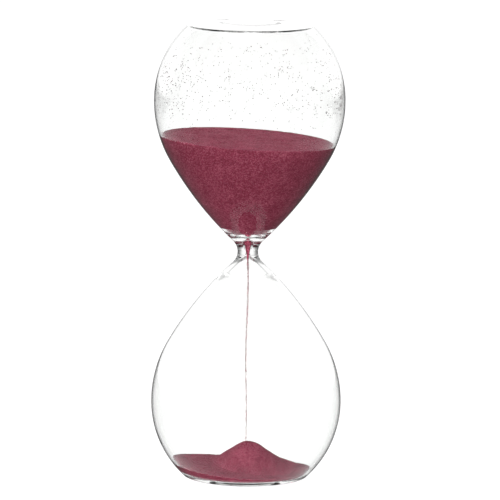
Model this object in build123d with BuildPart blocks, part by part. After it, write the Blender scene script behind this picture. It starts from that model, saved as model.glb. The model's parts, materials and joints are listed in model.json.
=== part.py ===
from build123d import *
import os
from math import asin, cos, degrees, radians, sin, sqrt, tan

# A frameless sand timer: two blown glass bulbs welded to a thick glass neck, with the sand
# inside. Millimetres, +Z up. The origin is the centre of the base that it stands on.

# ---- driving dimensions: glass -----------------------------------------------------------
half_height = 97.0  # waist to either end
belly_radius = 40.0  # the widest part of a bulb
belly_offset = 63.7  # waist to the widest part
wall = 1.2  # glass of the bulbs
upper_end_wall = 1.1  # glass of the upper end
lower_end_wall = 2.2  # glass of the lower end, left thicker
shoulder_arc = 43.0  # outline radius from the belly to the end
lower_arc = 50.0  # outline radius from the belly towards the waist
flank_arc = 150.0  # outline radius of the flank
flank_start = 30.0  # degrees from upright where the flank begins
flank_end = 45.0  # and where it runs straight into the neck
weld = 14.0  # the neck is welded to the bulbs this far from the waist
waist_radius = 4.3  # outside of the neck at its narrowest
end_drop = 1.4  # how far an end falls from its middle to its fold
fold_round = 1.4
inner_fold_round = 0.9
seal_radius = 12.0  # fused disc in the middle of each end
seal_proud = 0.3
seal_edge = 0.2

orifice_radius = 0.7
orifice_drop = 2.0  # the narrowest point, below the waist
orifice_round = 0.4
mouth_radius = 1.9  # where the funnel leaves the floor of the upper bowl
mouth_offset = 6.9
mouth_round = 0.5
bowl_corner = (7.7, 7.5)  # radius and height where the upper flank would meet that floor
bowl_round = 8.5
flank_inner_end = 43.0  # degrees from upright where the inside of the flank turns straight
cone_corner = (8.3, 9.6)  # radius and depth where the lower cone meets the lower flank
cone_round = 3.0

# ---- driving dimensions: sand ------------------------------------------------------------
skin = 0.05  # gap between sand and glass
upper_level = 47.5  # sand surface in the middle, above the waist
upper_tilt = 3.0  # degrees, lower towards +X
lower_level = 6.8  # sand surface in the middle, above the base
lower_tilt = 3.8  # degrees, lower towards +X
lower_front_tilt = 2.4  # degrees, lower towards -Y in front of the middle
lower_back_tilt = 7.0  # degrees, lower towards +Y behind it
heap_top = 15.8  # peak of the heap, above the base
heap_aside = 1.2  # how far the peak lies off the axis, towards +X
heap_foot = 4.5  # where its cone ends inside the sand
heap_slope = 34.0  # angle of repose
heap_round = 8.0

core_radius = 1.8  # moving core of the upper sand, above the throat
core_foot = 7.1
sand_corner = (7.7, 7.6)  # the bottom corner of the upper sand, just clear of the bowl's
plug_radius = 1.2  # sand in the funnel of the throat
plug_top = 5.6
plug_end = -1.5
thread_top_radius = 0.4
thread_end_radius = 0.25
thread_travel = 38.0
thread_gap = 0.1  # thread's end above the heap

grain_count = 60
grain_radius = 0.3
grain_turns = (-38.0, 14.0)  # band of the upper bulb's wall that they cling to
golden_angle = 137.508

# ---- the outline of the glass, counted from the waist ------------------------------------


def on_arc(centre, radius, turn):
    """The point where an arc of the outline has turned this many degrees from upright."""
    return (centre[0] + radius * cos(radians(turn)), centre[1] - radius * sin(radians(turn)))


def arc_centre(point, radius, turn):
    """The centre of an outline arc that passes through a point at that turn."""
    return (point[0] - radius * cos(radians(turn)), point[1] + radius * sin(radians(turn)))


def fold_at(side, end):
    """Where the shoulder meets the end face, at these depths inside the outer surface."""
    height = half_height - seal_proud - end_drop - end
    reach = sqrt((shoulder_arc - side) ** 2 - (height - belly_offset) ** 2)
    return (shoulder_centre[0] + reach, height)


def fold_turn(side, end):
    """The turn of the shoulder arc at that fold, negative because it lies above the belly."""
    return -degrees(asin((fold_at(side, end)[1] - belly_offset) / (shoulder_arc - side)))


shoulder_centre = (belly_radius - shoulder_arc, belly_offset)
lower_centre = (belly_radius - lower_arc, belly_offset)
flank_top = on_arc(lower_centre, lower_arc, flank_start)
flank_centre = arc_centre(flank_top, flank_arc, flank_start)
flank_foot = on_arc(flank_centre, flank_arc, flank_end)

# The round of the waist touches the straight run below the flank.
waist_round = (waist_radius - flank_foot[0] + flank_foot[1]) / (sqrt(2) - 1)
waist_join = (
    waist_radius + waist_round * (1 - cos(radians(flank_end))),
    waist_round * sin(radians(flank_end)),
)


def weld_at(side):
    """The turn of the flank where the neck is welded on, at this depth inside its surface."""
    return degrees(asin((flank_centre[1] - weld) / (flank_arc - side)))


mouth = (mouth_radius, mouth_offset)
orifice = (orifice_radius, -orifice_drop)
weld_outer = on_arc(flank_centre, flank_arc, weld_at(0))
weld_inner = on_arc(flank_centre, flank_arc - wall, weld_at(wall))
flank_inner_foot = on_arc(flank_centre, flank_arc - wall, flank_inner_end)
rim = half_height - seal_proud
lower_floor = rim - lower_end_wall


def raised(point):
    """An outline point, counted from the waist, at its height in the object."""
    return (point[0], half_height + point[1])


def lowered(point):
    """The same point of the lower half."""
    return (point[0], half_height - point[1])


def outline_arc(centre, radius, start, end, place=raised):
    """One arc of the outline, between two turns, drawn in the open line."""
    turns = (start, (start + end) / 2, end)
    ThreePointArc(*[place(on_arc(centre, radius, turn)) for turn in turns])


def soften(outline, point, radius):
    """Rounds the corner of an open sketch that is nearest to a point."""
    fillet(outline.vertices().sort_by_distance(point)[0], radius)


# ---- glass -------------------------------------------------------------------------------
bulbs = []
for end_wall, place in ((upper_end_wall, raised), (lower_end_wall, lowered)):
    with BuildPart() as bulb:
        with BuildSketch(Plane.XZ) as bulb_wall:
            with BuildLine():
                outline_arc(flank_centre, flank_arc, weld_at(0), flank_start, place)
                outline_arc(lower_centre, lower_arc, flank_start, 0, place)
                outline_arc(shoulder_centre, shoulder_arc, 0, fold_turn(0, 0), place)
                Polyline(
                    place(fold_at(0, 0)),
                    place((seal_radius, rim)),
                    place((seal_radius, rim - end_wall)),
                    place(fold_at(wall, end_wall)),
                )
                outline_arc(shoulder_centre, shoulder_arc - wall, fold_turn(wall, end_wall), 0, place)
                outline_arc(lower_centre, lower_arc - wall, 0, flank_start, place)
                outline_arc(flank_centre, flank_arc - wall, flank_start, weld_at(wall), place)
                Line(place(weld_inner), place(weld_outer))
            make_face()
            soften(bulb_wall, place(fold_at(0, 0)), fold_round)
            soften(bulb_wall, place(fold_at(wall, end_wall)), inner_fold_round)
        revolve(axis=Axis.Z)
    bulbs.append(bulb)
upper_bulb, lower_bulb = bulbs

with BuildPart() as upper_seal:
    with BuildSketch(Plane.XY.offset(half_height + rim - upper_end_wall)):
        Circle(seal_radius)
    extrude(amount=seal_proud + upper_end_wall)
    chamfer(upper_seal.edges().sort_by(Axis.Z)[-1], seal_edge)

with BuildPart() as lower_seal:
    with BuildSketch(Plane.XY):
        Circle(seal_radius)
    extrude(amount=seal_proud + lower_end_wall)
    chamfer(lower_seal.edges().sort_by(Axis.Z)[0], seal_edge)

with BuildPart() as throat:
    with BuildSketch(Plane.XZ) as neck_wall:
        with BuildLine():
            outline_arc(flank_centre, flank_arc, weld_at(0), flank_end)
            Line(raised(flank_foot), raised(waist_join))
            ThreePointArc(raised(waist_join), raised((waist_radius, 0)), lowered(waist_join))
            Line(lowered(waist_join), lowered(flank_foot))
            outline_arc(flank_centre, flank_arc, flank_end, weld_at(0), lowered)
            Line(lowered(weld_outer), lowered(weld_inner))
            outline_arc(flank_centre, flank_arc - wall, weld_at(wall), flank_inner_end, lowered)
            Polyline(
                lowered(flank_inner_foot),
                lowered(cone_corner),
                raised(orifice),
                raised(mouth),
                raised(bowl_corner),
                raised(flank_inner_foot),
            )
            outline_arc(flank_centre, flank_arc - wall, flank_inner_end, weld_at(wall))
            Line(raised(weld_inner), raised(weld_outer))
        make_face()
        soften(neck_wall, lowered(cone_corner), cone_round)
        soften(neck_wall, raised(orifice), orifice_round)
        soften(neck_wall, raised(mouth), mouth_round)
        soften(neck_wall, raised(bowl_corner), bowl_round)
    revolve(axis=Axis.Z)

# ---- sand --------------------------------------------------------------------------------
with BuildPart() as upper_sand:
    with BuildSketch(Plane.XZ) as charge:
        with BuildLine():
            outline_arc(lower_centre, lower_arc - wall - skin, 0, flank_start)
            outline_arc(flank_centre, flank_arc - wall - skin, flank_start, flank_inner_end)
            Polyline(
                raised(on_arc(flank_centre, flank_arc - wall - skin, flank_inner_end)),
                raised(sand_corner),
                raised((core_radius, core_foot)),
                raised((0, core_foot)),
                raised((0, belly_offset)),
                raised(on_arc(lower_centre, lower_arc - wall - skin, 0)),
            )
        make_face()
        soften(charge, raised(sand_corner), bowl_round)
    revolve(axis=Axis.Z)
    surface = Plane.XY.offset(half_height + upper_level).rotated((0, upper_tilt, 0))
    split(bisect_by=surface, keep=Keep.BOTTOM)
    with BuildSketch(Plane.XY.offset(half_height + core_foot)):
        Circle(core_radius)
    extrude(amount=plug_top + thread_travel + thread_gap - core_foot, mode=Mode.SUBTRACT)

with BuildPart() as falling_sand:
    with BuildSketch(Plane.XZ):
        with BuildLine():
            Polyline(
                (0, heap_top + thread_gap),
                (thread_end_radius, heap_top + thread_gap),
                raised((thread_top_radius, plug_end)),
                raised((plug_radius, plug_top)),
                raised((0, plug_top)),
                close=True,
            )
        make_face()
    revolve(axis=Axis.Z)

with BuildPart() as lower_sand:
    side = wall + skin
    floor = (seal_radius, lower_floor - skin)
    fold = (side, lower_end_wall + skin)
    with BuildSketch(Plane.XZ) as bed:
        with BuildLine():
            outline_arc(shoulder_centre, shoulder_arc - side, 0, fold_turn(*fold), lowered)
            Polyline(
                lowered(fold_at(*fold)),
                lowered(floor),
                lowered((0, floor[1])),
                lowered((0, belly_offset)),
                lowered((shoulder_centre[0] + shoulder_arc - side, belly_offset)),
            )
        make_face()
        soften(bed, lowered(fold_at(*fold)), inner_fold_round)
    revolve(axis=Axis.Z)
    for tilt in (lower_front_tilt, -lower_back_tilt):
        surface = Plane.XY.offset(lower_level).rotated((tilt, lower_tilt, 0))
        split(bisect_by=surface, keep=Keep.BOTTOM)
    shoulder = (
        heap_round * sin(radians(heap_slope)),
        heap_top - heap_round * (1 - cos(radians(heap_slope))),
    )
    spread = shoulder[0] + (shoulder[1] - heap_foot) / tan(radians(heap_slope))
    crest = (
        heap_round * sin(radians(heap_slope / 2)),
        heap_top - heap_round * (1 - cos(radians(heap_slope / 2))),
    )
    with BuildSketch(Plane((heap_aside, 0, 0), x_dir=(1, 0, 0), z_dir=(0, -1, 0))):
        with BuildLine():
            ThreePointArc((0, heap_top), crest, shoulder)
            Polyline(shoulder, (spread, heap_foot), (0, heap_foot), (0, heap_top))
        make_face()
    revolve(axis=Axis((heap_aside, 0, 0), (0, 0, 1)))

grain_spots = []
for index in range(grain_count):
    first, last = grain_turns
    turn = first + (last - first) * index / (grain_count - 1)
    centre, radius = (lower_centre, lower_arc) if turn > 0 else (shoulder_centre, shoulder_arc)
    out, up = raised(on_arc(centre, radius - wall - grain_radius - skin, turn))
    around = radians(golden_angle * index)
    grain_spots.append((out * cos(around), out * sin(around), up))

with BuildPart() as clinging_grains:
    with Locations(*grain_spots):
        Sphere(grain_radius)

# ---- files -------------------------------------------------------------------------------
pieces = {
    "upper_bulb": upper_bulb,
    "lower_bulb": lower_bulb,
    "throat": throat,
    "upper_seal": upper_seal,
    "lower_seal": lower_seal,
    "upper_sand": upper_sand,
    "lower_sand": lower_sand,
    "falling_sand": falling_sand,
    "clinging_grains": clinging_grains,
}
os.makedirs("parts", exist_ok=True)
for label, piece in pieces.items():
    piece.part.label = label
    export_step(piece.part, f"parts/{label}.step")
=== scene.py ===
import json
import math
import random

import bpy
from mathutils import Euler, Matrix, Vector

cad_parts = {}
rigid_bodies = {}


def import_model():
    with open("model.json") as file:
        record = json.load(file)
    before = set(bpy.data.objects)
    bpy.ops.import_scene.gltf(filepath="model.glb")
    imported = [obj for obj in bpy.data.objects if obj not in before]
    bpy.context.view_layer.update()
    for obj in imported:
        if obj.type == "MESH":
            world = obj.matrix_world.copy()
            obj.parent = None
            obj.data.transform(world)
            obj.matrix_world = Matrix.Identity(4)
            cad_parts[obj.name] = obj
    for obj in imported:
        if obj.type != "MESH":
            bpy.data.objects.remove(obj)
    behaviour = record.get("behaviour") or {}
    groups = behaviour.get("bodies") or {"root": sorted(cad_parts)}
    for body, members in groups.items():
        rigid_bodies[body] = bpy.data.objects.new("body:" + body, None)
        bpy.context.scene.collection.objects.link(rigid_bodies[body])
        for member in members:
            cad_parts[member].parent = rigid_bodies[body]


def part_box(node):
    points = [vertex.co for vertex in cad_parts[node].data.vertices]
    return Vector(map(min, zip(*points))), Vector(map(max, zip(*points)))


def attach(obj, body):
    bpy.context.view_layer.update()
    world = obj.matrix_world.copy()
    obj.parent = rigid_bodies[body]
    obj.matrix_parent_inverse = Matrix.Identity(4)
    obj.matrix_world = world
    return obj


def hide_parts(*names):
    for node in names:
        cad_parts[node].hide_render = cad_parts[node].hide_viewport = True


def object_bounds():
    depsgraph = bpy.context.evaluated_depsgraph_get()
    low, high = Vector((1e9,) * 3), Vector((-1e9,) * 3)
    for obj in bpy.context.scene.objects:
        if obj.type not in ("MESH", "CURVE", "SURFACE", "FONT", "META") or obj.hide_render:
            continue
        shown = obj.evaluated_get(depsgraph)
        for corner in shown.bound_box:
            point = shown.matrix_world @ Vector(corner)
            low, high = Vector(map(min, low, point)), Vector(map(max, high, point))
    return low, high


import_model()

# A frameless glass sand timer: one blown glass body with a thick neck, dark red sand in both
# bulbs, a thin stream through the neck and a dust of grains on the upper wall.

MM = 0.001
CAD_LOW, CAD_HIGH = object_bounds()

# ---- sizes, in millimetres from the waist unless they say otherwise ----------------------
HALF = (CAD_HIGH.z - CAD_LOW.z) / MM / 2
BELLY = (CAD_HIGH.x - CAD_LOW.x) / MM / 2
BELLY_UP = 63.7  # the widest part of a bulb
WALL = 1.2
UPPER_END_WALL = 1.1
LOWER_END_WALL = 2.2
SHOULDER_ARC = 43.0  # outline radius from the belly to the end
LOWER_ARC = 50.0  # and from the belly towards the waist
FLANK_ARC = 150.0
FLANK_START = 30.0  # degrees from upright where the flank begins
FLANK_END = 45.0  # and where it runs into the round of the neck
WAIST = 4.3  # radius of the neck at its narrowest
END_DROP = 1.4  # how far an end falls from its middle to its fold
FOLD_ROUND = 1.4
INNER_FOLD_ROUND = 0.9

SEAL = (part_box("upper_seal")[1].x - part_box("upper_seal")[0].x) / MM / 2
SEAL_PROUD = 0.3
SEAL_EDGE = 1.4  # how far in the disc melts down to the end face

ORIFICE = 0.7  # radius
ORIFICE_DROP = 2.0
ORIFICE_ROUND = 0.4
MOUTH = 1.9  # radius where the funnel leaves the floor of the upper bowl
MOUTH_UP = 6.9
MOUTH_ROUND = 0.5
BOWL_CORNER = (7.7, 7.5)  # where the upper flank would meet that floor
BOWL_ROUND = 8.5
CONE_CORNER = (8.3, -9.6)  # where the lower cone meets the lower flank
CONE_ROUND = 3.0
INNER_END = 43.0  # degrees from upright where the inside of the flank turns straight

SEGMENTS = 144  # round the axis
SKIN = 0.06  # sand to glass, where air shows between them
TOUCH = -0.04  # sand pressed into the wall, without air between them
TOUCH_FROM = 10.5  # height where the pressed sand begins, above the waist
TOUCH_TO = 92.0  # and where it ends, on the way to an end
CORE = 1.8  # radius of the clear core in the upper sand, where the stream slides
CORE_TOP = 46.2
UPPER_LEVEL = 47.5
UPPER_TILT = 3.0  # degrees, lower towards +X
LOWER_LEVEL = 6.8  # above the base
LOWER_TILT = 3.8  # degrees, lower towards +X
LOWER_FRONT_TILT = 2.4  # degrees, lower towards -Y in front of the middle
LOWER_BACK_TILT = 7.0  # degrees, lower towards +Y behind it
HEAP_TOP = 15.8  # above the base
HEAP_ASIDE = 1.2  # towards +X
HEAP_SLOPE = 34.0
HEAP_ROUND = 8.0  # the round of the peak
HEAP_FOOT_ROUND = 12.0  # the hollow round where the heap runs out
HEAP_FOOT_SLOPE = 22.0
HEAP_FOOT_RISE = 1.2  # where the side turns into the foot, above the bed
HEAP_FOOT_DEPTH = 3.8  # from there down to the end of the foot, inside the bed
DRIFT = 6.0  # size of the low lumps on the lower sand
CAMERA_BACK = 1.664  # metres from the waist
CAMERA_UP = 0.255


# ---- the outline of the glass: (radius, height above the waist) --------------------------
def on_arc(centre, radius, turn):
    """The point where an arc of the outline has turned this many degrees from upright."""
    angle = math.radians(turn)
    return (centre[0] + radius * math.cos(angle), centre[1] - radius * math.sin(angle))


def arc_centre(point, radius, turn):
    """The centre of an outline arc that passes through a point at that turn."""
    angle = math.radians(turn)
    return (point[0] - radius * math.cos(angle), point[1] + radius * math.sin(angle))


def arc(centre, radius, start, end, pieces):
    """Evenly spaced points along one arc of the outline."""
    steps = [start + (end - start) * i / pieces for i in range(pieces + 1)]
    return [on_arc(centre, radius, turn) for turn in steps]


def line(start, end, pieces):
    """Evenly spaced points along a straight run, without its last point."""
    return [
        tuple(a + (b - a) * i / pieces for a, b in zip(start, end)) for i in range(pieces)
    ]


def rounded(before, corner, after, radius, pieces=8):
    """The points of a corner between two runs, rounded off."""
    corner_v = Vector(corner)
    one = (Vector(before) - corner_v).normalized()
    two = (Vector(after) - corner_v).normalized()
    half_angle = one.angle(two) / 2
    reach = radius / math.tan(half_angle)
    middle = corner_v + (one + two).normalized() * radius / math.sin(half_angle)
    start = corner_v + one * reach - middle
    swing = start.angle_signed(corner_v + two * reach - middle)
    points = []
    for i in range(pieces + 1):
        angle = -swing * i / pieces
        x = start.x * math.cos(angle) - start.y * math.sin(angle)
        y = start.x * math.sin(angle) + start.y * math.cos(angle)
        points.append((middle.x + x, middle.y + y))
    return points


def fold_at(side, end):
    """Where the shoulder meets the end face, at these depths inside the outer surface."""
    height = HALF - SEAL_PROUD - END_DROP - end
    reach = math.sqrt((SHOULDER_ARC - side) ** 2 - (height - BELLY_UP) ** 2)
    return (SHOULDER_CENTRE[0] + reach, height)


def fold_turn(side, height):
    """The turn of the shoulder arc at a height above the belly, as a negative number."""
    return -math.degrees(math.asin((height - BELLY_UP) / (SHOULDER_ARC - side)))


SHOULDER_CENTRE = (BELLY - SHOULDER_ARC, BELLY_UP)
LOWER_CENTRE = (BELLY - LOWER_ARC, BELLY_UP)
FLANK_TOP = on_arc(LOWER_CENTRE, LOWER_ARC, FLANK_START)
FLANK_CENTRE = arc_centre(FLANK_TOP, FLANK_ARC, FLANK_START)
FLANK_FOOT = on_arc(FLANK_CENTRE, FLANK_ARC, FLANK_END)
INNER_FOOT = on_arc(FLANK_CENTRE, FLANK_ARC - WALL, INNER_END)
WAIST_ROUND = (WAIST - FLANK_FOOT[0] + FLANK_FOOT[1]) / (math.sqrt(2) - 1)
WAIST_SIDE = (WAIST + WAIST_ROUND, 0.0)
RIM = HALF - SEAL_PROUD
CLOSE = 0.4  # how far short of a fold an arc stops, so that its rounding can take over


def shoulder(side, end, fold_round):
    """From the flat end's middle, over the fold and down to the belly."""
    corner = fold_at(side, end)
    flat = (SEAL, RIM - end)
    below = on_arc(SHOULDER_CENTRE, SHOULDER_ARC - side, fold_turn(side, corner[1] - CLOSE))
    turned = rounded(flat, corner, below, fold_round)
    join = fold_turn(side, turned[-1][1] - CLOSE)
    round_side = arc(SHOULDER_CENTRE, SHOULDER_ARC - side, join, 0, 40)
    return [*line(flat, turned[0], 10), *turned, *round_side]


def outer_half():
    """The outside, from the middle of an end to the waist."""
    disc = [(0.0, HALF), *line((SEAL * 0.25, HALF), (SEAL - SEAL_EDGE, HALF), 4)]
    disc += line((SEAL - SEAL_EDGE, HALF), (SEAL, RIM), 4)
    waist = arc(WAIST_SIDE, -WAIST_ROUND, FLANK_END, 0, 16)
    return [
        *disc,
        *shoulder(0, 0, FOLD_ROUND),
        *arc(LOWER_CENTRE, LOWER_ARC, 0, FLANK_START, 22)[1:],
        *arc(FLANK_CENTRE, FLANK_ARC, FLANK_START, FLANK_END, 22)[1:],
        *waist,
    ]


def inner_wall(end_wall, gap=0.0):
    """The inside of a bulb, from the middle of its end to the foot of the flank."""
    height = RIM - end_wall - gap
    floor = [(0.0, height), *line((SEAL * 0.25, height), (SEAL, height), 4)]
    return [
        *floor,
        *shoulder(WALL + gap, end_wall + gap, INNER_FOLD_ROUND),
        *arc(LOWER_CENTRE, LOWER_ARC - WALL - gap, 0, FLANK_START, 22)[1:],
        *arc(FLANK_CENTRE, FLANK_ARC - WALL - gap, FLANK_START, INNER_END, 22)[1:],
    ]


def upper_bowl(gap=0.0):
    """The round floor of the upper bulb, from the foot of the flank towards the mouth."""
    corner = (BOWL_CORNER[0], BOWL_CORNER[1] + gap * 1.6)
    return rounded(INNER_FOOT, corner, (MOUTH, MOUTH_UP + gap), BOWL_ROUND, 14)


def funnel():
    """The throat, from its mouth in the bowl's floor through the orifice to the lower cone."""
    mouth, lip, cone = (MOUTH, MOUTH_UP), (ORIFICE, -ORIFICE_DROP), CONE_CORNER
    top = rounded(BOWL_CORNER, mouth, lip, MOUTH_ROUND, 6)
    narrow = rounded(mouth, lip, cone, ORIFICE_ROUND, 6)
    flare = rounded(lip, cone, (INNER_FOOT[0], -INNER_FOOT[1]), CONE_ROUND, 10)
    funnel_side = line(top[-1], narrow[0], 10)[1:]
    cone_side = line(narrow[-1], flare[0], 6)[1:]
    return [*top, *funnel_side, *narrow, *cone_side, *flare]


def upside_down(points):
    """The same outline below the waist, in the opposite order."""
    return [(r, -z) for r, z in reversed(points)]


# ---- modelling ---------------------------------------------------------------------------
def start_clean():
    """Nothing selected and no active piece."""
    if bpy.context.mode != "OBJECT":
        bpy.ops.object.mode_set(mode="OBJECT")
    bpy.ops.object.select_all(action="DESELECT")


def edit(piece):
    """Opens one piece for editing."""
    start_clean()
    piece.select_set(True)
    bpy.context.view_layer.objects.active = piece
    bpy.ops.object.mode_set(mode="EDIT")


def turned_piece(name, outline):
    """A piece turned on the Z axis: the outline is drawn point by point and spun once round."""
    start_clean()
    places = [Vector((r, 0, HALF + z)) * MM for r, z in outline]
    bpy.ops.mesh.primitive_plane_add(size=MM, location=places[0])
    piece = bpy.context.object
    piece.name = name
    bpy.ops.object.transform_apply(location=True, rotation=False, scale=False)
    bpy.ops.object.mode_set(mode="EDIT")
    bpy.ops.mesh.select_all(action="SELECT")
    bpy.ops.mesh.merge(type="CENTER")
    for here, there in zip(places, places[1:]):
        bpy.ops.mesh.extrude_region_move(TRANSFORM_OT_translate={"value": there - here})
    bpy.ops.mesh.select_all(action="SELECT")
    bpy.ops.mesh.spin(steps=SEGMENTS, angle=math.tau, center=(0, 0, 0), axis=(0, 0, 1))
    bpy.ops.mesh.select_all(action="SELECT")
    bpy.ops.mesh.remove_doubles(threshold=0.004 * MM)
    bpy.ops.mesh.normals_make_consistent(inside=False)
    bpy.ops.object.mode_set(mode="OBJECT")
    bpy.ops.object.shade_smooth()
    return piece


def joined(name, *pieces):
    """Several meshes as one piece."""
    start_clean()
    for piece in pieces:
        piece.select_set(True)
    bpy.context.view_layer.objects.active = pieces[0]
    bpy.ops.object.join()
    pieces[0].name = name
    return pieces[0]


def cut_level(piece, point, normal):
    """Cuts away what lies past a plane and closes the piece with a face there."""
    edit(piece)
    bpy.ops.mesh.select_all(action="SELECT")
    bpy.ops.mesh.bisect(plane_co=point, plane_no=normal, clear_outer=True, use_fill=True)
    bpy.ops.object.mode_set(mode="OBJECT")


def ringed_top(piece, rings):
    """Divides the flat face that a cut left into rings, and marks all but its rim as drift."""
    start_clean()
    for group in (piece.data.polygons, piece.data.edges, piece.data.vertices):
        group.foreach_set("select", [False] * len(group))
    cap = max(piece.data.polygons, key=lambda face: len(face.vertices))
    cap.select = True
    middle = cap.center.copy()
    edit(piece)
    for ring in range(rings, 0, -1):
        bpy.ops.mesh.extrude_region_move()
        shrink = (ring - 0.5) / (ring + 0.5)
        bpy.ops.transform.resize(value=(shrink,) * 3, center_override=middle)
    bpy.ops.mesh.poke()
    for _ in range(rings - 1):
        bpy.ops.mesh.select_more()
    if not piece.vertex_groups:
        piece.vertex_groups.new(name="drift")
    bpy.ops.object.vertex_group_assign()
    bpy.ops.object.mode_set(mode="OBJECT")


def drifted(piece, lump, height):
    """Raises and lowers the piece's drift group a little, in soft lumps, as poured sand lies."""
    edit(piece)
    bpy.ops.object.mode_set(mode="OBJECT")
    clouds = bpy.data.textures.new(piece.name + "_drifts", "CLOUDS")
    clouds.noise_scale = lump * MM
    waves = piece.modifiers.new("drifts", "DISPLACE")
    waves.texture = clouds
    waves.texture_coords = "LOCAL"
    waves.direction = "Z"
    waves.strength = height * MM
    waves.vertex_group = "drift"
    bpy.ops.object.modifier_apply(modifier="drifts")
    bpy.ops.object.shade_smooth()


def scattered(name, spots, seed):
    """Many small grains as one piece: each a turned, squashed copy of one twenty-sided grain."""
    start_clean()
    bpy.ops.mesh.primitive_ico_sphere_add(subdivisions=1, radius=1.0)
    grain = bpy.context.object
    corners = [corner.co.copy() for corner in grain.data.vertices]
    sides = [tuple(side.vertices) for side in grain.data.polygons]
    bpy.data.objects.remove(grain)
    rng = random.Random(seed)
    points, faces = [], []
    for place, size in spots:
        turn = Euler([rng.uniform(0, math.tau) for _ in range(3)]).to_matrix()
        stretch = Vector([size * rng.uniform(0.7, 1.25) for _ in range(3)])
        first = len(points)
        points += [place + turn @ (corner * stretch) for corner in corners]
        faces += [tuple(first + corner for corner in side) for side in sides]
    mesh = bpy.data.meshes.new(name)
    mesh.from_pydata(points, [], faces)
    mesh.update()
    piece = bpy.data.objects.new(name, mesh)
    bpy.context.scene.collection.objects.link(piece)
    return piece


# ---- finishes ----------------------------------------------------------------------------
NECK_INNER = 0.003  # metres from the waist: solid neck up to here
NECK_OUTER = 0.008  # and plain blown wall from here


def nodes_of(name):
    """A new material with its node tree, its Principled node and a Texture Coordinate node."""
    material = bpy.data.materials.new(name)
    material.use_nodes = True
    tree = material.node_tree
    shader = tree.nodes["Principled BSDF"]
    place = tree.nodes.new("ShaderNodeTexCoord")
    return material, tree, shader, place


def noise(tree, place, scale, detail, rough=0.5):
    """Soft noise that stays with the piece."""
    node = tree.nodes.new("ShaderNodeTexNoise")
    node.inputs["Scale"].default_value = scale
    node.inputs["Detail"].default_value = detail
    node.inputs["Roughness"].default_value = rough
    tree.links.new(place.outputs["Object"], node.inputs["Vector"])
    return node


def ramp(tree, source, *stops):
    """A colour for each value of the source, from (position, colour) stops."""
    node = tree.nodes.new("ShaderNodeValToRGB")
    elements = node.color_ramp.elements
    while len(elements) < len(stops):
        elements.new(0.5)
    for element, (position, colour) in zip(elements, stops):
        element.position = position
        element.color = (*colour, 1.0)
    tree.links.new(source, node.inputs["Fac"])
    return node


def graded(tree, source, low, high, start, end):
    """A value that runs smoothly from start to end while its source runs from low to high."""
    node = tree.nodes.new("ShaderNodeMapRange")
    node.interpolation_type = "SMOOTHSTEP"
    node.inputs["From Min"].default_value = low
    node.inputs["From Max"].default_value = high
    node.inputs["To Min"].default_value = start
    node.inputs["To Max"].default_value = end
    tree.links.new(source, node.inputs["Value"])
    return node.outputs["Result"]


def worked(tree, operation, *values):
    """The result of one sum; a value is a socket or a number."""
    node = tree.nodes.new("ShaderNodeMath")
    node.operation = operation
    for socket, value in zip(node.inputs, values):
        if isinstance(value, float):
            socket.default_value = value
        else:
            tree.links.new(value, socket)
    return node.outputs["Value"]


def blown_glass(name, gloss, neck_power, *edge_shade_stops):
    """Clear hand-blown glass: faint waves from the blowing, and painted shade: edges that go grey
    where the surface turns edge-on.

    The power widens those edges in the solid neck.
    """
    material, tree, shader, place = nodes_of(name)
    shader.inputs["Transmission Weight"].default_value = 1.0
    shader.inputs["IOR"].default_value = 1.47
    shader.inputs["Specular Tint"].default_value = (gloss, gloss, gloss, 1.0)
    shader.inputs["Roughness"].default_value = 0.0
    facing = tree.nodes.new("ShaderNodeLayerWeight")
    facing.inputs["Blend"].default_value = 0.5
    upright = tree.nodes.new("ShaderNodeSeparateXYZ")
    tree.links.new(place.outputs["Normal"], upright.inputs["Vector"])
    # The ends face up and down and stay clear, however flat they are seen.
    below = graded(tree, upright.outputs["Z"], -0.85, -0.60, 0.0, 1.0)
    above = graded(tree, upright.outputs["Z"], 0.75, 0.97, 1.0, 0.0)
    kept = worked(tree, "MULTIPLY", below, above)
    height = tree.nodes.new("ShaderNodeSeparateXYZ")
    tree.links.new(place.outputs["Object"], height.inputs["Vector"])
    from_waist = worked(tree, "ABSOLUTE", worked(tree, "SUBTRACT", height.outputs["Z"], HALF * MM))
    power = graded(tree, from_waist, NECK_INNER, NECK_OUTER, neck_power, 1.0)
    edge_on = worked(tree, "POWER", facing.outputs["Facing"], power)
    side_on = worked(tree, "MULTIPLY", edge_on, kept)
    # Painted shade: the glass colour darkens where the surface is seen edge-on, standing in for
    # the dark rims that refraction shows.
    edge_shade = ramp(tree, side_on, *[(at, (v, v * 1.005, v)) for at, v in edge_shade_stops])
    tree.links.new(edge_shade.outputs["Color"], shader.inputs["Base Color"])
    waves = noise(tree, place, 45.0, 1.5)
    bump = tree.nodes.new("ShaderNodeBump")
    bump.inputs["Strength"].default_value = 0.25
    bump.inputs["Distance"].default_value = 0.0004
    tree.links.new(waves.outputs["Fac"], bump.inputs["Height"])
    tree.links.new(bump.outputs["Normal"], shader.inputs["Normal"])
    return material


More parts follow.
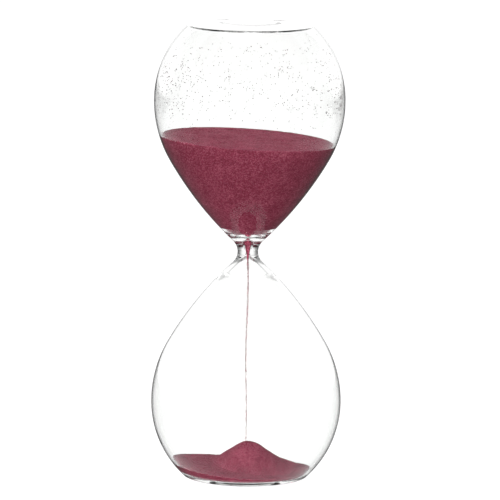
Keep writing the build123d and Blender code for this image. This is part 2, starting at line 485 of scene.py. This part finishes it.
def red_sand(name, dark, middle, light):
    """Fine dry sand: each grain a little lighter or darker, in soft drifts of colour."""
    material, tree, shader, place = nodes_of(name)
    shader.inputs["Roughness"].default_value = 0.85
    shader.inputs["Specular IOR Level"].default_value = 0.1
    grains = tree.nodes.new("ShaderNodeTexVoronoi")
    grains.inputs["Scale"].default_value = 2600.0
    tree.links.new(place.outputs["Object"], grains.inputs["Vector"])
    drifts = noise(tree, place, 160.0, 4.0, 0.6)
    mix = tree.nodes.new("ShaderNodeMix")
    mix.data_type = "FLOAT"
    mix.inputs["Factor"].default_value = 0.45
    spread = tree.nodes.new("ShaderNodeSeparateColor")
    tree.links.new(grains.outputs["Color"], spread.inputs["Color"])
    tree.links.new(spread.outputs["Red"], mix.inputs["A"])
    tree.links.new(drifts.outputs["Fac"], mix.inputs["B"])
    colour = ramp(tree, mix.outputs["Result"], (0.1, dark), (0.5, middle), (0.9, light))
    tree.links.new(colour.outputs["Color"], shader.inputs["Base Color"])
    bump = tree.nodes.new("ShaderNodeBump")
    bump.inputs["Strength"].default_value = 0.5
    bump.inputs["Distance"].default_value = 0.0002
    tree.links.new(grains.outputs["Distance"], bump.inputs["Height"])
    tree.links.new(bump.outputs["Normal"], shader.inputs["Normal"])
    return material


def paint(piece, material):
    """Gives a piece one finish all over."""
    piece.data.materials.clear()
    piece.data.materials.append(material)


def place_piece(piece, body, slot, *nodes):
    """Gives a piece its place in the frame."""
    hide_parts(*nodes)
    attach(piece, body)


# ---- glass -------------------------------------------------------------------------------
outside = outer_half()
outer_skin = turned_piece("outer_skin", [*outside, *upside_down(outside)[1:]])
inside = [*inner_wall(UPPER_END_WALL), *upper_bowl(), *funnel()]
inside += upside_down(inner_wall(LOWER_END_WALL))
inner_skin = turned_piece("inner_skin", inside)
edit(inner_skin)
bpy.ops.mesh.select_all(action="SELECT")
bpy.ops.mesh.flip_normals()
bpy.ops.object.mode_set(mode="OBJECT")
# Painted shade: the outer glass goes dark grey where it is seen edge-on, the inner glass a little
# grey.
outer_edge_shade = (
    (0.0, 0.98), (0.5, 0.975), (0.68, 0.94), (0.75, 0.82), (0.8, 0.46), (0.85, 0.12), (1.0, 0.04)
)
inner_edge_shade = ((0.0, 0.995), (0.7, 0.99), (1.0, 0.9))
paint(outer_skin, blown_glass("blown_glass", 0.25, 0.16, *outer_edge_shade))
paint(inner_skin, blown_glass("blown_glass_inside", 0.3, 1.0, *inner_edge_shade))
glass_body = joined("glass_body", outer_skin, inner_skin)
glass_body.visible_shadow = False
place_piece(
    glass_body, "glass", "clear_glass",
    "upper_bulb", "throat", "lower_bulb", "upper_seal", "lower_seal",
)

# ---- sand --------------------------------------------------------------------------------
SAND = red_sand("burgundy_sand", (0.09, 0.013, 0.024), (0.19, 0.027, 0.052), (0.33, 0.09, 0.13))
# Painted shade: the grains on the glass are the same sand, coloured far darker than the sand in
# the bulbs.
SHADED_SAND = red_sand("sand_painted_dark", (0.02, 0.012, 0.014), (0.05, 0.024, 0.028), (0.12, 0.06, 0.07))


def sand_wall(end_wall):
    """The side of the sand in a bulb: pressed into the glass, or a little clear of it."""
    both = zip(inner_wall(end_wall, TOUCH), inner_wall(end_wall, SKIN))
    return [pressed if TOUCH_FROM < pressed[1] < TOUCH_TO else clear for pressed, clear in both]


sand_side = [(r, z) for r, z in sand_wall(UPPER_END_WALL) if z <= BELLY_UP]
core = [(CORE, MOUTH_UP + 0.3), *line((CORE, MOUTH_UP + 0.5), (CORE, CORE_TOP - 0.5), 24)]
core += [(CORE, CORE_TOP - 0.4), (CORE * 0.7, CORE_TOP), (0.0, CORE_TOP)]
charge = turned_piece("upper_sand", [(0.0, BELLY_UP), *sand_side, *upper_bowl(SKIN), *core])
tilt = math.radians(UPPER_TILT)
upper_middle = (0, 0, (HALF + UPPER_LEVEL) * MM)
cut_level(charge, upper_middle, (math.sin(tilt), 0, math.cos(tilt)))
ringed_top(charge, 14)
drifted(charge, 7.0, 1.6)


def surface_spots(count, reach, height_at, size, seed):
    """Places for loose grains spread over a sand surface."""
    rng = random.Random(seed)
    spots = []
    for _ in range(count):
        out = reach * math.sqrt(rng.random()) * MM
        around = rng.uniform(0, math.tau)
        x, y = out * math.cos(around), out * math.sin(around)
        spots.append((Vector((x, y, height_at(x, y))), size * rng.uniform(0.6, 1.4) * MM))
    return spots


def upper_surface(x, y):
    """Height of the upper sand's tilted surface."""
    return (HALF + UPPER_LEVEL) * MM - x * math.tan(tilt)


loose = scattered("loose", surface_spots(1600, 34.3, upper_surface, 0.16, 3), 4)
upper_sand = joined("upper_sand_charge", charge, loose)
paint(upper_sand, SAND)
place_piece(upper_sand, "glass", "red_sand", "upper_sand")

bed_side = [(r, z) for r, z in sand_wall(LOWER_END_WALL) if z > HALF - LOWER_LEVEL - 8.0]
bed = turned_piece("bed", upside_down([*bed_side, (0.0, bed_side[-1][1])]))
slope_x = math.tan(math.radians(LOWER_TILT))
slope_front = -math.tan(math.radians(LOWER_FRONT_TILT))
slope_back = math.tan(math.radians(LOWER_BACK_TILT))
lower_middle = Vector((0, 0, LOWER_LEVEL * MM))
cut_level(bed, lower_middle, (slope_x, slope_back, 1.0))
cut_level(bed, lower_middle, (slope_x, slope_front, 1.0))
for _ in range(2):
    ringed_top(bed, 9)
drifted(bed, DRIFT, 0.5)

heap_turn = math.radians(HEAP_SLOPE)
foot_turn = math.radians(HEAP_FOOT_SLOPE)
crest = []
for i in range(9):
    angle = heap_turn * i / 8
    crest.append((HEAP_ROUND * math.sin(angle), HEAP_TOP - HEAP_ROUND * (1 - math.cos(angle))))
reach = (crest[-1][1] - LOWER_LEVEL - HEAP_FOOT_RISE) / math.tan(heap_turn)
corner = (crest[-1][0] + reach, LOWER_LEVEL + HEAP_FOOT_RISE)
toe = (corner[0] + HEAP_FOOT_DEPTH / math.tan(foot_turn), corner[1] - HEAP_FOOT_DEPTH)
foot = rounded(crest[-1], corner, toe, HEAP_FOOT_ROUND, 8)
side = [*line(crest[-1], foot[0], 10), *foot, *line(foot[-1], toe, 16)[1:]]
heap_outline = [*crest[:-1], *side, toe, (0.0, toe[1])]
heap = turned_piece("heap", [(r, z - HALF) for r, z in heap_outline])
heap.vertex_groups.new(name="drift")
edit(heap)
bpy.ops.mesh.select_all(action="SELECT")
bpy.ops.object.vertex_group_assign()
bpy.ops.transform.translate(value=(HEAP_ASIDE * MM, 0, 0))
bpy.ops.object.mode_set(mode="OBJECT")
drifted(heap, DRIFT, 0.7)


def lower_surface(x, y):
    """Height of the lower sand, heap or bed, whichever is higher."""
    bed_height = LOWER_LEVEL * MM - x * slope_x - y * (slope_back if y > 0 else slope_front)
    out = math.hypot(x - HEAP_ASIDE * MM, y) / MM
    cone = crest[-1][1] - (out - crest[-1][0]) * math.tan(heap_turn)
    top = min(cone, HEAP_TOP - out * out / HEAP_ROUND / 2)
    return max(bed_height, top * MM)


loose = scattered("loose", surface_spots(1500, 27.0, lower_surface, 0.17, 8), 9)
lower_sand = joined("lower_sand_heap", bed, heap, loose)
paint(lower_sand, SAND)
place_piece(lower_sand, "glass", "red_sand", "lower_sand")

# ---- the falling stream ------------------------------------------------------------------
# The sand that fills the funnel and runs out through the orifice.
plug_side = [(0.0, 8.0), (1.2, 8.0), (1.65, 7.4), (1.6, 6.2), (1.45, 4.8)]
plug_side += [(0.6, -1.7), (0.4, -3.0), (0.0, -3.4)]
plug = turned_piece("plug", plug_side)
rng = random.Random(12)
thread = []
THREAD_TOP = HALF - 1.0
THREAD_REACH = 0.45  # keeps the thread clear of the orifice at every pose
for _ in range(1500):
    fallen = (THREAD_TOP - HEAP_TOP) * rng.random() ** 1.7
    wander = 0.35 * math.sin(fallen / 9.0) * min(1.0, fallen / 10.0)
    width = 0.2 + 0.1 * fallen / THREAD_TOP
    aside = Vector((wander + rng.gauss(0, width), rng.gauss(0, width), 0))
    aside *= min(1.0, THREAD_REACH / aside.length)
    place = (aside + Vector((0, 0, THREAD_TOP - fallen))) * MM
    thread.append((place, rng.uniform(0.08, 0.15) * MM))
falling = joined("sand_stream", plug, scattered("thread", thread, 13))
paint(falling, SAND)
place_piece(falling, "stream", "red_sand", "falling_sand")

# ---- grains that cling to the glass ------------------------------------------------------
rng = random.Random(35)
dust = []
for _ in range(210):
    middle_turn = rng.triangular(-40.0, 15.0, -8.0)
    middle_around = rng.uniform(0, math.tau)
    patch = rng.uniform(1.0, 6.0)
    for _ in range(rng.randint(2, 9)):
        turn = max(-43.0, min(16.0, rng.gauss(middle_turn, patch)))
        around = rng.gauss(middle_around, math.radians(patch * 1.5))
        size = rng.uniform(0.10, 0.23)
        centre, radius = (LOWER_CENTRE, LOWER_ARC) if turn > 0 else (SHOULDER_CENTRE, SHOULDER_ARC)
        out, up = on_arc(centre, radius - WALL - size * 1.25, turn)
        place = Vector((out * math.cos(around), out * math.sin(around), HALF + up)) * MM
        dust.append((place, size * MM))
clinging = scattered("grains_on_glass", dust, 22)
# These grains wear the darker, painted-shade copy of the sand.
paint(clinging, SHADED_SAND)
place_piece(clinging, "glass", "red_sand", "clinging_grains")

# ---- stage -------------------------------------------------------------------------------
start_clean()
bpy.ops.mesh.primitive_plane_add(size=12.0, location=(0, 0, 0))
floor = bpy.context.object
floor.name = "floor"
floor_glow_finish, tree, shader, place = nodes_of("floor_painted_glow")
shader.inputs["Base Color"].default_value = (0.15, 0.15, 0.15, 1.0)
shader.inputs["Roughness"].default_value = 0.8
across = tree.nodes.new("ShaderNodeSeparateXYZ")
tree.links.new(place.outputs["Object"], across.inputs["Vector"])
# Painted light: the floor is dark grey and glows, a pool of light brightest under and behind the
# glass. This bright wedge is laid out for the view at rest: its point lies below the camera. It
# stays where it is when the view changes.
aside = worked(tree, "ABSOLUTE", across.outputs["X"])
depth = worked(tree, "ADD", across.outputs["Y"], CAMERA_BACK)
strip = graded(tree, worked(tree, "DIVIDE", aside, depth), 0.14, 0.5, 0.70, 0.0)
front = graded(tree, across.outputs["Y"], -0.15, -0.045, 0.0, 1.0)
glow = worked(tree, "MULTIPLY_ADD", strip, front, 0.28)
tree.links.new(glow, shader.inputs["Emission Strength"])
shader.inputs["Emission Color"].default_value = (1.0, 1.0, 1.0, 1.0)
floor.data.materials.append(floor_glow_finish)
floor.visible_glossy = False


def softbox(name, place, width, height, power):
    """A rectangular soft light that faces the middle of the glass."""
    bpy.ops.object.light_add(type="AREA", location=place)
    lamp = bpy.context.object
    lamp.name = name
    lamp.data.shape = "RECTANGLE"
    lamp.data.size = width
    lamp.data.size_y = height
    lamp.data.energy = power
    aim = Vector((0, 0, 0.1)) - Vector(place)
    lamp.rotation_euler = aim.to_track_quat("-Z", "Y").to_euler()


softbox("left_window", (-0.35, -1.4, 0.38), 0.4, 0.5, 14.0)
softbox("right_strip", (0.75, -1.1, 0.25), 0.10, 0.8, 1.2)
softbox("top_light", (-0.1, 0.1, 1.2), 0.7, 0.7, 4.5)

world = bpy.data.worlds.new("studio")
bpy.context.scene.world = world
world.use_nodes = True
tree = world.node_tree
background = tree.nodes["Background"]
where = tree.nodes.new("ShaderNodeTexCoord")
parts = tree.nodes.new("ShaderNodeSeparateXYZ")
tree.links.new(where.outputs["Generated"], parts.inputs["Vector"])
# The bright backdrop begins a little below the horizon, where the floor ends.
sky = ramp(
    tree,
    worked(tree, "ADD", parts.outputs["Z"], 0.06),
    (0.0, (0.12, 0.12, 0.12)),
    (0.02, (1.4, 1.4, 1.4)),
    (0.30, (1.2, 1.2, 1.2)),
    (0.6, (0.5, 0.5, 0.5)),
)
behind = graded(tree, parts.outputs["Y"], 0.2, 0.6, 0.3, 1.0)
tree.links.new(sky.outputs["Color"], background.inputs["Color"])
tree.links.new(behind, background.inputs["Strength"])

# ---- camera ------------------------------------------------------------------------------
WAIST_POINT = Vector((0, 0, HALF * MM))
bpy.ops.object.camera_add(location=WAIST_POINT + Vector((0, -CAMERA_BACK, CAMERA_UP)))
camera = bpy.context.object
camera.data.lens = 288.6
camera.data.sensor_width = 36.0
camera.data.clip_start = 0.1
camera.data.clip_end = 30.0
aim = WAIST_POINT + Vector((0.0009, 0, 0.0006))
camera.rotation_mode = "QUATERNION"
look = (aim - camera.location).to_track_quat("-Z", "Y")
camera.rotation_quaternion = look @ Euler((0, 0, math.radians(0.75))).to_quaternion()
bpy.context.scene.camera = camera
bpy.context.scene.view_settings.view_transform = "Standard"
# Light crosses the thick ends and the neck many times before it comes out.
bpy.context.scene.cycles.max_bounces = 32
bpy.context.scene.cycles.glossy_bounces = 24
bpy.context.scene.cycles.transmission_bounces = 32
